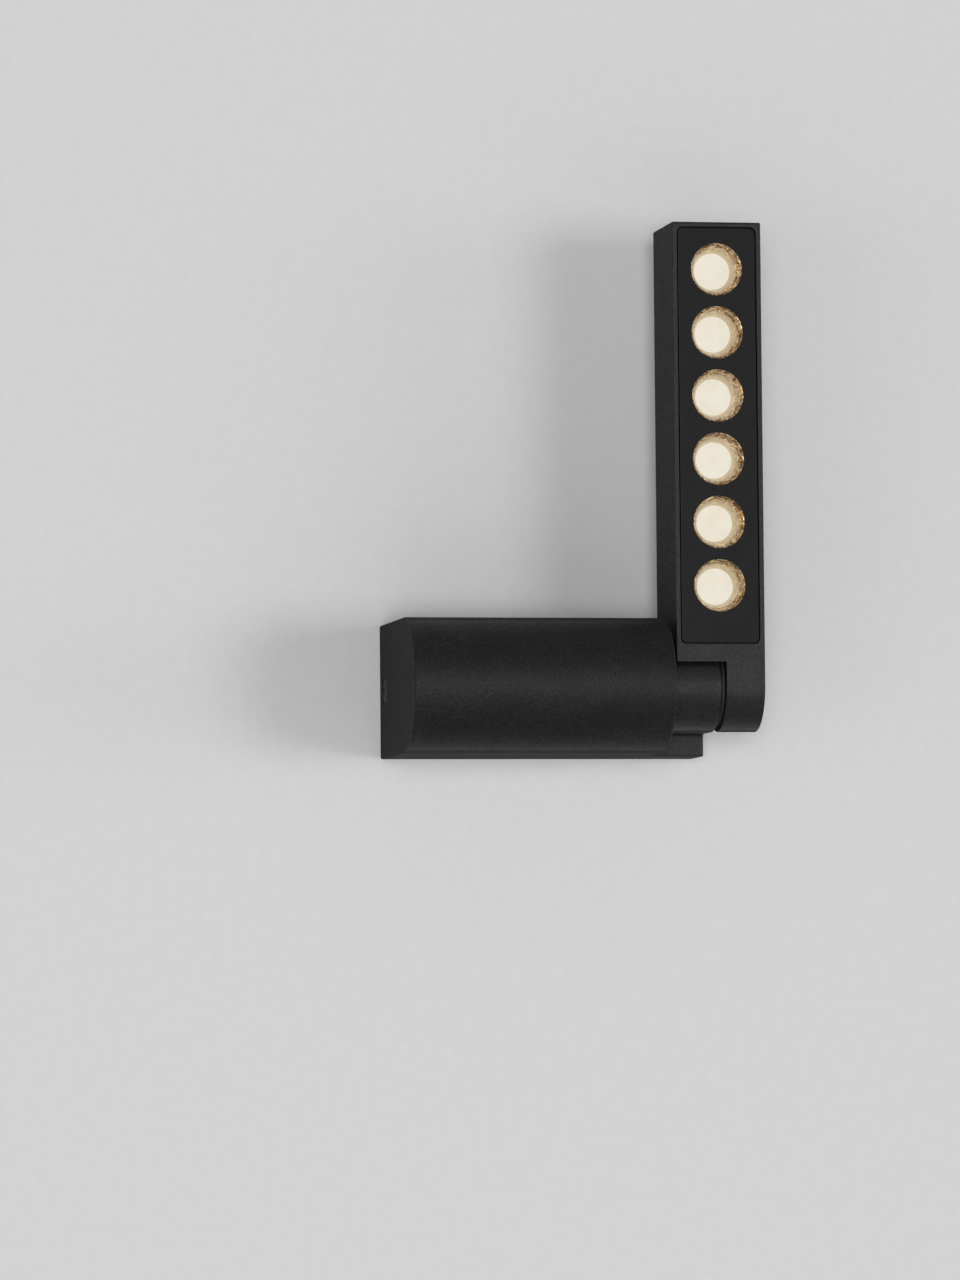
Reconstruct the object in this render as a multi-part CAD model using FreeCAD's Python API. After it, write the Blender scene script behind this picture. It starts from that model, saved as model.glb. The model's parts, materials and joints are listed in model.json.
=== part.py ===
import FreeCAD
import Part
import math
import os

# Pivoting spotlight wall light, in millimetres.
# X runs along the wall to the right, Y points into the wall and Z is up.
# The wall is the plane Y = 0 and the object stands out of it towards -Y, so most places
# below are given as a depth: the distance out from the wall.
# The origin lies on the wall, midway between the two wall screws, level with the tilt axis.

# ---- driving dimensions: housing on the wall
housing_length = 74.7
housing_height = 38.3
housing_depth = 56.7
housing_wall = 2.3
housing_edge_radius = 0.6

# ---- driving dimensions: base casting behind and beside the housing
back_plate_thickness = 4.0
hinge_block_width = 16.5
hinge_block_depth = 15.6
hinge_block_wall = 2.5
hinge_block_edge_radius = 0.5
stem_height_above_axis = 5.0
stem_root_radius = 1.0
barrel_edge_radius = 1.5

# ---- driving dimensions: tilting head
head_width = 25.8
head_depth = 25.5
head_rise = 131.75
head_edge_radius = 0.5
end_gap = 3.1
head_back_gap = 0.65
lug_width = 11.3
hinge_gap = 0.9
notch_clearance = 1.65

# ---- driving dimensions: front panel and optics
bezel = 1.45
lower_bezel = 5.05
recess_edge_radius = 0.25
panel_thickness = 1.5
panel_set_back = 0.2
panel_groove = 0.25
panel_corner_radius = 1.7
panel_edge_radius = 0.2
optic_count = 6
optic_pitch = 18.0
first_optic_below_top = 13.45
optic_opening_radius = 7.45
optic_lip = 0.5
lens_radius = 5.4
lens_depth_from_front = 6.9
lens_thickness = 1.5
lens_crown = 0.35
lens_crown_inset = 0.3
lens_seat_lip = 0.2
reflector_wall = 0.25
reflector_skirt_wall = 0.8
reflector_flange_radius = 8.5
reflector_flange_thickness = 0.8
led_depth_from_front = 11.0
led_board_thickness = 1.2
led_board_side_gap = 0.35
thermal_pad_thickness = 0.5
module_ledge = 0.95
led_chip_side = 3.0
led_chip_height = 0.8
led_base_share = 0.6
led_dome_share = 0.8

connector_length = 6.0
connector_width = 4.8
connector_thickness = 3.8
connector_edge_radius = 0.38
connector_offset = 5.5
connector_rise = 3.6
connector_lead_lift = 2.0

# ---- driving dimensions: hinge
tube_radius = 5.0
tube_bore_radius = 2.7
tube_flange_across_flats = 14.0
tube_flange_thickness = 2.0
barrel_chamber_radius = 9.0
barrel_chamber_length = 5.05
plug_thickness = 1.5
plug_rim_radius = 11.0
lug_web = 2.6
lug_chamber_radius = 10.0
lug_cap_thickness = 1.5
spigot_reach = 1.0
spigot_wall = 1.0
cap_edge_radius = 0.35
bush_wall = 1.0
wave_washer_thickness = 0.6
wave_washer_radius = 7.5
lock_nut_across_flats = 14.0
lock_nut_thickness = 2.0
lock_nut_corner_share = 1.06
friction_washer_radius = 11.0
friction_washer_thickness = 0.75
stop_pin_radius = 1.0
stop_pin_orbit = 8.4
stop_pin_reach = 1.4
stop_pin_edge_radius = 0.3
stop_slot_depth = 1.8
stop_slot_steps = 6
tilt_range = 120.0

# ---- driving dimensions: fixings
wall_screw_spacing = 50.0
wall_screw_hole_radius = 2.25
wall_screw_head_radius = 4.2
wall_screw_countersink = 1.6
cable_entry_radius = 3.5
grommet_hole_radius = 6.0
grommet_flange_radius = 7.5
grommet_flange_thickness = 1.2
grommet_chamfer = 0.5
cover_screw_radius = 2.0
cover_screw_length = 10.0
cover_screw_head_radius = 3.6
cover_screw_head_height = 2.2
cover_screw_crown = 0.5
cover_screw_socket = 2.5
cover_screw_socket_depth = 1.4
cover_screw_depth = 7.3
cover_screw_recess_radius = 3.85
cover_screw_recess = 1.9
cover_boss_rim = 1.5
cover_boss_thickness = 2.2
screw_post_length = 8.0
screw_post_half_height = 5.0
hook_height = 5.0
hook_thickness = 3.0
hook_reach = 2.3
hook_spread = 26.0
hook_depth = 10.5

# ---- driving dimensions: wiring
lead_radius = 1.1
lead_bend_radius = 2.6
mains_lead_radius = 0.9
cable_duct_radius = 2.2
duct_depth = 9.0
lead_turn_room = 4.2
lead_way_clearance = 0.4
lead_wall_gap = 0.15
lead_insert = 1.0
head_lead_turn_share = 0.82

# ---- driving dimensions: driver and terminals
driver_left_room = 10.0
driver_right_room = 10.1
driver_side_room = 1.35
driver_front_room = 1.15
driver_back_room = 5.0
driver_wall = 1.2
driver_corner_radius = 1.5
driver_post_radius = 2.5
driver_post_inset = 3.6
driver_ear_height = 1.8
driver_lid_thickness = 1.5
driver_lid_lip = 1.5
driver_board_thickness = 1.6
driver_board_lift = 3.0
driver_board_end_gap = 1.5
board_leg_inset = 9.0
board_leg_thickness = 1.2
board_leg_height = 12.0
transformer_length = 15.0
transformer_height = 17.0
transformer_top_room = 2.2
transformer_limb = 2.7
winding_corner_radius = 1.2
large_can_radius = 4.2
large_can_length = 11.0
small_can_radius = 3.2
small_can_length = 7.0
can_gap = 0.8
can_edge_radius = 0.5
choke_radius = 4.0
choke_waist_radius = 2.8
choke_height = 7.4
choke_flange = 1.2
choke_inset = 6.6
m25_radius = 1.25
m25_head_radius = 2.25
m25_head_height = 1.5
m25_screw_length = 7.0
m3_radius = 1.5
m3_head_radius = 2.75
m3_head_height = 1.8
m2_radius = 1.0
m2_head_radius = 1.9
m2_head_height = 1.2
m2_screw_length = 5.0
board_screw_length = 4.6
screw_edge_share = 0.45
screw_slot_reach_share = 0.6
screw_slot_width_share = 0.12
terminal_poles = 3
terminal_pole_pitch = 6.4
terminal_body_length = 9.0
terminal_body_depth = 12.0
terminal_wire_radius = 1.7
terminal_well_radius = 1.6
terminal_screw_radius = 1.5
terminal_screw_length = 3.5
grub_slot_depth = 0.8
grub_slot_width = 0.5
terminal_shell = 1.2
terminal_lobe_gap = 0.8
terminal_web_set_back = 2.0
terminal_edge_radius = 1.0
wire_depth_share = 0.4
wire_insert = 2.5
screw_floor = 1.0
screw_hole_floor = 0.8
earth_tag_thickness = 0.8
earth_tag_width = 2.8
earth_tag_length = 8.0
tag_rim = 0.4
terminal_offset = 12.5
clamp_length = 6.0
clamp_span = 24.0
clamp_thickness = 3.0
clamp_arch_radius = 3.6
clamp_screw_rim = 0.4

# ---- clearances
sliding_clearance = 0.3
seat_clearance = 0.05
running_clearance = 0.05
side_clearance = 0.1

# ---- derived places
half_height = housing_height / 2
housing_left = -housing_length / 2
housing_right = housing_length / 2
nose_centre_depth = housing_depth - half_height
inner_half_height = half_height - housing_wall
block_right = housing_right + hinge_block_width
head_back = hinge_block_depth + head_back_gap
axis_depth = head_back + head_depth / 2
head_left = housing_right + end_gap
head_right = head_left + head_width
head_centre = (head_left + head_right) / 2
head_front = axis_depth + head_depth / 2
barrel_radius = head_depth / 2
lug_left = head_right - lug_width
barrel_right = lug_left - hinge_gap
barrel_left = head_left
notch_radius = barrel_radius + notch_clearance
notch_lip = math.sqrt(notch_radius ** 2 - barrel_radius ** 2)

panel_left = head_left + bezel
panel_right = head_right - bezel
panel_bottom = notch_lip + lower_bezel
panel_top = head_rise - bezel
panel_face_depth = head_front - panel_set_back
panel_back_depth = panel_face_depth - panel_thickness
module_left = panel_left + module_ledge
module_right = panel_right - module_ledge
module_bottom = panel_bottom + module_ledge
module_top = panel_top - module_ledge
board_face_depth = head_front - led_depth_from_front
board_back_depth = board_face_depth - led_board_thickness
module_floor_depth = board_back_depth - thermal_pad_thickness
lens_face_depth = head_front - lens_depth_from_front
lens_back_depth = lens_face_depth - lens_thickness
optic_heights = [head_rise - first_optic_below_top - index * optic_pitch for index in range(optic_count)]
reflector_rim_radius = optic_opening_radius + reflector_wall
reflector_rim_depth = panel_face_depth - optic_lip - side_clearance

chamber_left = barrel_left + plug_thickness
chamber_right = chamber_left + barrel_chamber_length
tube_shoulder = chamber_right + tube_flange_thickness
lug_web_right = lug_left + lug_web
nut_left = lug_web_right + wave_washer_thickness + side_clearance
nut_right = nut_left + lock_nut_thickness
tube_right = nut_right + 2 * side_clearance
cap_left = head_right - lug_cap_thickness
lead_split = lug_left

plate_half_height = inner_half_height - side_clearance * 2
plate_left = housing_left + housing_wall + sliding_clearance
boss_right = housing_left + housing_wall + cover_boss_thickness
driver_left = housing_left + housing_wall + driver_left_room
driver_right = housing_right - housing_wall - driver_right_room
driver_half_height = inner_half_height - driver_side_room
driver_inside = driver_half_height - driver_wall
driver_middle = (driver_left + driver_right) / 2
terminal_front = back_plate_thickness + terminal_body_depth
terminal_wire_depth = back_plate_thickness + terminal_body_depth * wire_depth_share
driver_corner_depth = nose_centre_depth + math.sqrt(inner_half_height ** 2 - driver_half_height ** 2)
driver_back = terminal_front + driver_back_room
driver_front = driver_corner_depth - driver_front_room
driver_lid_back = driver_front - driver_lid_thickness
board_floor_depth = driver_back + driver_wall + driver_board_lift
board_top_depth = board_floor_depth + driver_board_thickness
driver_wire_depth = driver_back + (driver_front - driver_back) * wire_depth_share
clamp_x = (driver_left + driver_post_inset + driver_post_radius - grommet_flange_radius) / 2
clamp_screw_height = clamp_span / 2 - m3_head_radius - clamp_screw_rim
earth_height = (grommet_flange_radius + plate_half_height) / 2
lead_turn_x = driver_right + lead_turn_room
duct_x = (chamber_left + chamber_right) / 2
output_height = terminal_pole_pitch
head_lead_x = module_right - lead_radius - lead_wall_gap
head_lead_turn_height = lug_chamber_radius * head_lead_turn_share
connector_right = head_centre + connector_offset
connector_height = module_bottom + connector_rise
connector_lead_depth = board_face_depth + connector_lead_lift


def point(x, depth, z):
    """A place given by its distance out from the wall."""
    return FreeCAD.Vector(x, -depth, z)


def block(x_range, depth_range, z_range):
    """A box between two values of X, of depth and of Z."""
    corner = point(x_range[0], depth_range[1], z_range[0])
    return Part.makeBox(x_range[1] - x_range[0], depth_range[1] - depth_range[0],
                        z_range[1] - z_range[0], corner)


def rod_along_x(x_range, depth, z, radius):
    """A cylinder parallel to the tilt axis."""
    return Part.makeCylinder(radius, x_range[1] - x_range[0], point(x_range[0], depth, z),
                             FreeCAD.Vector(1, 0, 0))


def rod_out_of_wall(x, depth_range, z, radius):
    """A cylinder square to the wall."""
    return Part.makeCylinder(radius, depth_range[1] - depth_range[0], point(x, depth_range[0], z),
                             FreeCAD.Vector(0, -1, 0))


def hexagon_along_x(x_range, depth, z, across_flats):
    """A hexagonal prism parallel to the tilt axis."""
    radius = across_flats / math.sqrt(3)
    corners = []
    for step in range(7):
        angle = math.radians(60 * step)
        corners.append(point(x_range[0], depth + radius * math.sin(angle), z + radius * math.cos(angle)))
    face = Part.Face(Part.makePolygon(corners))
    return face.extrude(FreeCAD.Vector(x_range[1] - x_range[0], 0, 0))


def turned_about_depth(x, z, outline):
    """A turned solid whose axis is square to the wall; the outline is radius and depth pairs."""
    corners = [point(x + radius, depth, z) for radius, depth in outline]
    face = Part.Face(Part.makePolygon(corners + corners[:1]))
    return face.revolve(point(x, 0, z), FreeCAD.Vector(0, 1, 0), 360)


def lead_tube(points, bend_radius, radius):
    """A round lead on straight runs joined by tangent arcs."""
    edges = []
    start = points[0]
    for before, corner, after in zip(points, points[1:], points[2:]):
        incoming = (corner - before).normalize()
        outgoing = (after - corner).normalize()
        turn = incoming.getAngle(outgoing)
        setback = bend_radius * math.tan(turn / 2)
        arc_start = corner - incoming * setback
        arc_end = corner + outgoing * setback
        inward = (outgoing - incoming).normalize()
        arc_middle = corner + inward * (bend_radius / math.cos(turn / 2) - bend_radius)
        edges.append(Part.LineSegment(start, arc_start).toShape())
        edges.append(Part.Arc(arc_start, arc_middle, arc_end).toShape())
        start = arc_end
    edges.append(Part.LineSegment(start, points[-1]).toShape())
    section = Part.Wire([Part.makeCircle(radius, points[0], points[1] - points[0])])
    tube = Part.Wire(edges).makePipeShell([section], True, False)
    length = sum(edge.Length for edge in edges)
    print("lead volume over section times length:", round(tube.Volume / (math.pi * radius ** 2 * length), 4))
    return tube


def softened(shape, radius, wanted):
    """The shape with the wanted edges rounded."""
    return shape.makeFillet(radius, [edge for edge in shape.Edges if wanted(edge.BoundBox)])


def same(first, second):
    """Whether two places agree to a thousandth."""
    return abs(first - second) < 0.001


def in_plane_of_x(bounds, x):
    """Whether an edge lies in the plane at this X."""
    return same(bounds.XMin, x) and same(bounds.XMax, x)


# ---- housing cover: a D-shaped shell, open at the wall
def d_section(x, half, centre_depth):
    """The D outline: flat above and below, half round in front, open edge on the wall."""
    nose = Part.Arc(point(x, centre_depth, half), point(x, centre_depth + half, 0),
                    point(x, centre_depth, -half))
    edges = [Part.LineSegment(point(x, 0, half), point(x, centre_depth, half)).toShape(),
             nose.toShape(),
             Part.LineSegment(point(x, centre_depth, -half), point(x, 0, -half)).toShape(),
             Part.LineSegment(point(x, 0, -half), point(x, 0, half)).toShape()]
    return Part.Face(Part.Wire(edges))


def hook_boxes(clearance):
    """The two tongues by which the cover hooks into the hinge block."""
    half_thickness = hook_thickness / 2 + clearance
    half_width = hook_height / 2 + clearance
    boxes = []
    for middle in (-hook_spread / 2, hook_spread / 2):
        boxes.append(block((housing_right - housing_wall, housing_right + hook_reach + clearance),
                           (hook_depth - half_thickness, hook_depth + half_thickness),
                           (middle - half_width, middle + half_width)))
    return boxes


def housing_cover():
    outer = d_section(housing_left, half_height, nose_centre_depth)
    outer = outer.extrude(FreeCAD.Vector(housing_length, 0, 0))
    outer = softened(outer, housing_edge_radius, lambda b: b.YMin < -0.001 and (
        in_plane_of_x(b, housing_left) or in_plane_of_x(b, housing_right)))
    inner = d_section(housing_left + housing_wall, inner_half_height, nose_centre_depth)
    inner = inner.extrude(FreeCAD.Vector(housing_length - 2 * housing_wall, 0, 0))
    boss = rod_along_x((housing_left + housing_wall, boss_right), cover_screw_depth, 0,
                       cover_screw_recess_radius + cover_boss_rim)
    boss = boss.cut(block((housing_left, 0), (-1, back_plate_thickness + sliding_clearance),
                          (-half_height, half_height)))
    right_wall = (housing_right - housing_wall - 1, housing_right + 1)
    plate_slot = block(right_wall, (-1, back_plate_thickness + sliding_clearance),
                       (-inner_half_height, inner_half_height))
    lead_slot = block(right_wall, (0, duct_depth + cable_duct_radius),
                      (output_height - cable_duct_radius, output_height + cable_duct_radius))
    screw_hole = rod_along_x((housing_left - 1, boss_right + 1), cover_screw_depth, 0,
                             cover_screw_radius + sliding_clearance)
    recess = rod_along_x((housing_left - 1, housing_left + cover_screw_recess), cover_screw_depth, 0,
                         cover_screw_recess_radius)
    shell = outer.cut(inner).fuse(boss)
    shell = shell.cut([plate_slot, lead_slot, screw_hole, recess])
    return shell.fuse(hook_boxes(0)).removeSplitter()


def button_head_screw():
    """The cover's socket screw: its low dome stands just proud of the recess in the left end."""
    seat = housing_left + cover_screw_recess
    tip = seat - cover_screw_head_height
    dome_radius = (cover_screw_head_radius ** 2 + cover_screw_crown ** 2) / (2 * cover_screw_crown)
    ball = Part.makeSphere(dome_radius, point(tip + dome_radius, cover_screw_depth, 0))
    head = rod_along_x((tip, seat), cover_screw_depth, 0, cover_screw_head_radius).common(ball)
    shank = rod_along_x((seat, seat + cover_screw_length), cover_screw_depth, 0, cover_screw_radius)
    socket = hexagon_along_x((tip - 1, tip + cover_screw_socket_depth), cover_screw_depth, 0,
                             cover_screw_socket)
    return head.fuse(shank).cut(socket).removeSplitter()


# ---- base casting: back plate, hinge block, stem and barrel in one piece
def is_block_front_edge(bounds):
    """Whether an edge is the hinge block's upper or lower front edge."""
    at_front = same(bounds.YMin, -hinge_block_depth) and same(bounds.YMax, -hinge_block_depth)
    return at_front and same(abs(bounds.ZMin), half_height) and same(bounds.ZMin, bounds.ZMax)


def base_casting():
    plate = block((plate_left, housing_right + hinge_block_wall), (0, back_plate_thickness),
                  (-plate_half_height, plate_half_height))
    hinge_block = block((housing_right + side_clearance, block_right), (0, hinge_block_depth),
                        (-half_height, half_height))
    stem = block((barrel_left, block_right), (hinge_block_depth - hinge_block_wall, axis_depth),
                 (-barrel_radius, stem_height_above_axis))
    barrel = rod_along_x((barrel_left, barrel_right), axis_depth, 0, barrel_radius)
    barrel = softened(barrel, barrel_edge_radius, lambda b: in_plane_of_x(b, barrel_right))
    casting = hinge_block.fuse([stem, barrel]).removeSplitter()
    casting = softened(casting, stem_root_radius, lambda b: same(b.YMin, -hinge_block_depth) and
                       same(b.YMax, -hinge_block_depth) and
                       (same(b.ZMin, -barrel_radius) or same(b.ZMin, stem_height_above_axis)) and
                       same(b.ZMin, b.ZMax))
    casting = softened(casting, hinge_block_edge_radius, lambda b: b.YMin < -0.001 and
                       (in_plane_of_x(b, block_right) or is_block_front_edge(b)))
    post_left = boss_right + sliding_clearance
    screw_post = block((post_left, post_left + screw_post_length),
                       (back_plate_thickness - 1, cover_screw_depth + screw_post_half_height),
                       (-screw_post_half_height, screw_post_half_height))
    posts = [rod_out_of_wall(x, (back_plate_thickness - 1, driver_back), z, driver_post_radius)
             for x, z in driver_post_places()]
    casting = casting.fuse([plate, screw_post] + posts)

    pocket = block((housing_right + hinge_block_wall, block_right - hinge_block_wall),
                   (-1, hinge_block_depth - hinge_block_wall),
                   (-half_height + hinge_block_wall, half_height - hinge_block_wall))
    lead_hole = rod_along_x((housing_right - 1, housing_right + hinge_block_wall + 1), duct_depth,
                            output_height, cable_duct_radius)
    stem_duct = rod_out_of_wall(duct_x, (hinge_block_depth - hinge_block_wall - 1, axis_depth), 0,
                                cable_duct_radius)
    chamber = rod_along_x((chamber_left, tube_shoulder), axis_depth, 0, barrel_chamber_radius)
    plug_seat = rod_along_x((barrel_left - 1, chamber_left), axis_depth, 0, plug_rim_radius)
    tube_hole = rod_along_x((tube_shoulder - 1, barrel_right + 1), axis_depth, 0,
                            tube_radius + seat_clearance)
    pin_hole = rod_along_x((barrel_right - stop_pin_reach * 2, barrel_right + 1), axis_depth,
                           stop_pin_orbit, stop_pin_radius + seat_clearance)
    entry = rod_out_of_wall(0, (-1, back_plate_thickness + 1), 0, grommet_hole_radius)
    tapped = rod_along_x((housing_left, boss_right + cover_screw_length), cover_screw_depth, 0,
                         cover_screw_radius + seat_clearance)
    cuts = [pocket, lead_hole, stem_duct, chamber, plug_seat, tube_hole, pin_hole, entry, tapped]
    cuts += hook_boxes(sliding_clearance)
    for side in (-1, 1):
        x = side * wall_screw_spacing / 2
        cuts.append(rod_out_of_wall(x, (-1, back_plate_thickness + 1), 0, wall_screw_hole_radius))
        cuts.append(Part.makeCone(wall_screw_hole_radius, wall_screw_head_radius, wall_screw_countersink,
                                  point(x, back_plate_thickness - wall_screw_countersink, 0),
                                  FreeCAD.Vector(0, -1, 0)))
    for x, z in driver_post_places():
        cuts.append(rod_out_of_wall(x, (driver_back - m25_screw_length, driver_back + 1), z,
                                    m25_radius + seat_clearance))
    plate_hole = (screw_hole_floor, back_plate_thickness + 1)
    for x, z in plate_screw_places():
        cuts.append(rod_out_of_wall(x, plate_hole, z, m3_radius + seat_clearance))
    x, z = terminal_fixing_place()
    cuts.append(rod_out_of_wall(x, plate_hole, z, m2_radius + seat_clearance))
    return casting.cut(cuts).removeSplitter()


def driver_post_places():
    """The two posts that carry the driver, on a diagonal."""
    height = driver_half_height - driver_post_inset
    return [(driver_left + driver_post_inset, -height), (driver_right - driver_post_inset, height)]


def plate_screw_places():
    """Screws in the back plate: two on the cord clamp and one for the earth tag."""
    return [(clamp_x, clamp_screw_height), (clamp_x, -clamp_screw_height), (0, earth_height)]


def terminal_fixing_place():
    """Between the first two poles of the terminal block."""
    return (terminal_offset, terminal_pole_pitch / 2)


# ---- small hardware
def pan_screw(x, z, seat_depth, length, radius, head_radius, head_height):
    """A cross-recessed screw whose head faces away from the wall."""
    shank = rod_out_of_wall(x, (seat_depth - length, seat_depth), z, radius)
    head = rod_out_of_wall(x, (seat_depth, seat_depth + head_height), z, head_radius)
    head = softened(head, head_height * screw_edge_share, lambda b: same(b.YMin, -seat_depth - head_height))
    reach = head_radius * screw_slot_reach_share
    half_width = head_radius * screw_slot_width_share
    slot_depths = (seat_depth + head_height * screw_edge_share, seat_depth + head_height + 1)
    slots = [block((x - reach, x + reach), slot_depths, (z - half_width, z + half_width)),
             block((x - half_width, x + half_width), slot_depths, (z - reach, z + reach))]
    return shank.fuse(head).cut(slots).removeSplitter()


def cable_grommet():
    """A rubber bush pushed into the back plate; its groove holds the plate."""
    outline = [(cable_entry_radius, 0), (grommet_hole_radius - seat_clearance, 0),
               (grommet_hole_radius - seat_clearance, back_plate_thickness),
               (grommet_flange_radius, back_plate_thickness),
               (grommet_flange_radius, back_plate_thickness + grommet_flange_thickness - grommet_chamfer),
               (grommet_flange_radius - grommet_chamfer, back_plate_thickness + grommet_flange_thickness),
               (cable_entry_radius, back_plate_thickness + grommet_flange_thickness)]
    return turned_about_depth(0, 0, outline)


def cord_clamp():
    """The bridge that holds the mains cable down on the back plate."""
    x_range = (clamp_x - clamp_length / 2, clamp_x + clamp_length / 2)
    past_both_ends = (clamp_x - clamp_length, clamp_x + clamp_length)
    arch_depth = back_plate_thickness + clamp_thickness / 2
    bridge = block(x_range, (back_plate_thickness, back_plate_thickness + clamp_thickness),
                   (-clamp_span / 2, clamp_span / 2))
    hump = rod_along_x(x_range, arch_depth, 0, clamp_arch_radius + clamp_thickness / 2)
    arch = rod_along_x(past_both_ends, arch_depth, 0, clamp_arch_radius)
    below = block(past_both_ends, (0, back_plate_thickness), (-clamp_span, clamp_span))
    holes = [rod_out_of_wall(x, (0, driver_back), z, m3_radius + seat_clearance)
             for x, z in plate_screw_places()[:2]]
    return bridge.fuse(hump).cut([arch, below] + holes).removeSplitter()


def terminal_pole_heights():
    """The middle of each pole, top first."""
    return [(terminal_poles - 1) * terminal_pole_pitch / 2 - index * terminal_pole_pitch
            for index in range(terminal_poles)]


def terminal_screw_places():
    """Two clamping screws in each pole, one for the wire in and one for the wire out."""
    along = terminal_body_length / 2 - terminal_well_radius - terminal_shell / 2
    return [(terminal_offset + side * along, z) for z in terminal_pole_heights() for side in (-1, 1)]


def terminal_block():
    """A row of lobes on a web, with a wire hole through each pole and two screw wells."""
    half_length = terminal_body_length / 2
    half_lobe = (terminal_pole_pitch - terminal_lobe_gap) / 2
    lobes = []
    cuts = []
    for z in terminal_pole_heights():
        lobe = block((terminal_offset - half_length, terminal_offset + half_length),
                     (back_plate_thickness, terminal_front), (z - half_lobe, z + half_lobe))
        lobes.append(softened(lobe, terminal_edge_radius, lambda b: same(b.YMin, -terminal_front) and
                              same(b.YMax, -terminal_front) and b.XMax - b.XMin > half_length))
        cuts.append(rod_along_x((terminal_offset - half_length - 1, terminal_offset + half_length + 1),
                                terminal_wire_depth, z, terminal_wire_radius))
    web_height = (terminal_poles - 1) * terminal_pole_pitch / 2
    web_half_length = half_length - terminal_edge_radius
    web_front = terminal_front - terminal_web_set_back
    web = block((terminal_offset - web_half_length, terminal_offset + web_half_length),
                (back_plate_thickness, web_front), (-web_height, web_height))
    for x, z in terminal_screw_places():
        cuts.append(rod_out_of_wall(x, (terminal_wire_depth, terminal_front + 1), z, terminal_well_radius))
    x, z = terminal_fixing_place()
    cuts.append(rod_out_of_wall(x, (0, terminal_front + 1), z, m2_radius + seat_clearance))
    cuts.append(rod_out_of_wall(x, (web_front - m2_head_height, terminal_front + 1), z,
                                m2_head_radius + seat_clearance))
    return web.fuse(lobes).cut(cuts).removeSplitter()


# ---- LED driver
def driver_case():
    """An open-fronted tray with ears inside for its two screws and wire holes in its right end."""
    outer = block((driver_left, driver_right), (driver_back, driver_lid_back),
                  (-driver_half_height, driver_half_height))
    outer = softened(outer, driver_corner_radius, lambda b: same(b.XMin, b.XMax) and same(b.ZMin, b.ZMax))
    inner = block((driver_left + driver_wall, driver_right - driver_wall),
                  (driver_back + driver_wall, driver_front), (-driver_inside, driver_inside))
    ear_depths = (driver_back, driver_back + driver_wall + driver_ear_height)
    ears = [rod_out_of_wall(x, ear_depths, z, driver_post_radius) for x, z in driver_post_places()]
    holes = [rod_out_of_wall(x, (driver_back - 1, driver_front), z, m25_radius + seat_clearance)
             for x, z in driver_post_places()]
    for z in (output_height, 0, -terminal_pole_pitch):
        holes.append(rod_along_x((driver_right - driver_wall - 1, driver_right + 1), driver_wire_depth, z,
                                 lead_radius + seat_clearance))
    return outer.cut(inner).fuse(ears).cut(holes).removeSplitter()


def driver_lid():
    """The cover of the tray, with a lip that drops inside its walls."""
    lid = block((driver_left, driver_right), (driver_lid_back, driver_front),
                (-driver_half_height, driver_half_height))
    lid = softened(lid, driver_corner_radius / 2, lambda b: same(b.YMin, -driver_front) and
                   same(b.YMax, -driver_front))
    lip_depths = (driver_lid_back - driver_lid_lip, driver_lid_back)
    lip = block((driver_left + driver_wall + side_clearance, driver_right - driver_wall - side_clearance),
                lip_depths, (-driver_inside + side_clearance, driver_inside - side_clearance))
    hollow = block((driver_left + 2 * driver_wall, driver_right - 2 * driver_wall),
                   (driver_lid_back - 2 * driver_lid_lip, driver_lid_back),
                   (driver_wall - driver_inside, driver_inside - driver_wall))
    return lid.fuse(lip.cut(hollow)).removeSplitter()


def driver_board():
    """The printed board on its legs, cut back at the two corners that hold the post screws."""
    half_width = driver_inside - side_clearance
    board = block((driver_left + driver_wall + side_clearance,
                   driver_right - driver_wall - driver_board_end_gap),
                  (board_floor_depth, board_top_depth), (-half_width, half_width))
    corner = driver_post_inset + m25_head_radius + side_clearance
    corners = [block((driver_left, driver_left + corner), (driver_back, driver_front),
                     (-driver_half_height, corner - driver_half_height)),
               block((driver_right - corner, driver_right), (driver_back, driver_front),
                     (driver_half_height - corner, driver_half_height))]
    legs = [block((x - board_leg_thickness / 2, x + board_leg_thickness / 2),
                  (driver_back + driver_wall, board_floor_depth),
                  (-board_leg_height / 2, board_leg_height / 2))
            for x in (driver_left + board_leg_inset, driver_right - board_leg_inset)]
    return board.cut(corners).fuse(legs).removeSplitter()


def driver_transformer():
    """A ferrite frame whose middle limb carries the taped winding."""
    half_length = transformer_length / 2
    half_height = transformer_height / 2
    core_top = driver_lid_back - transformer_top_room
    core = block((driver_middle - half_length, driver_middle + half_length), (board_top_depth, core_top),
                 (-half_height, half_height))
    window_outer = half_height - transformer_limb
    window_inner = window_outer / 2
    between_limbs = (driver_middle - half_length + transformer_limb,
                     driver_middle + half_length - transformer_limb)
    windows = [block(between_limbs, (board_top_depth - 1, core_top + 1), heights)
               for heights in ((-window_outer, -window_inner), (window_inner, window_outer))]
    winding = block(between_limbs, (board_top_depth, core_top - winding_corner_radius / 2),
                    (seat_clearance - window_outer, window_outer - seat_clearance))
    winding = softened(winding, winding_corner_radius,
                       lambda b: same(b.XMin, b.XMax) and same(b.ZMin, b.ZMax))
    return core.cut(windows).fuse(winding).removeSplitter()


def driver_capacitors():
    """Two electrolytic cans that lie along the board, left of the transformer."""
    cans = []
    right = driver_middle - transformer_length / 2 - can_gap
    sizes = ((1, large_can_radius, large_can_length), (-1, small_can_radius, small_can_length))
    for side, radius, length in sizes:
        can = rod_along_x((right - length, right), board_top_depth + radius,
                          side * (driver_inside - radius - can_gap), radius)
        cans.append(softened(can, can_edge_radius, lambda b: same(b.XMin, b.XMax)))
    return Part.makeCompound(cans)


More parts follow.
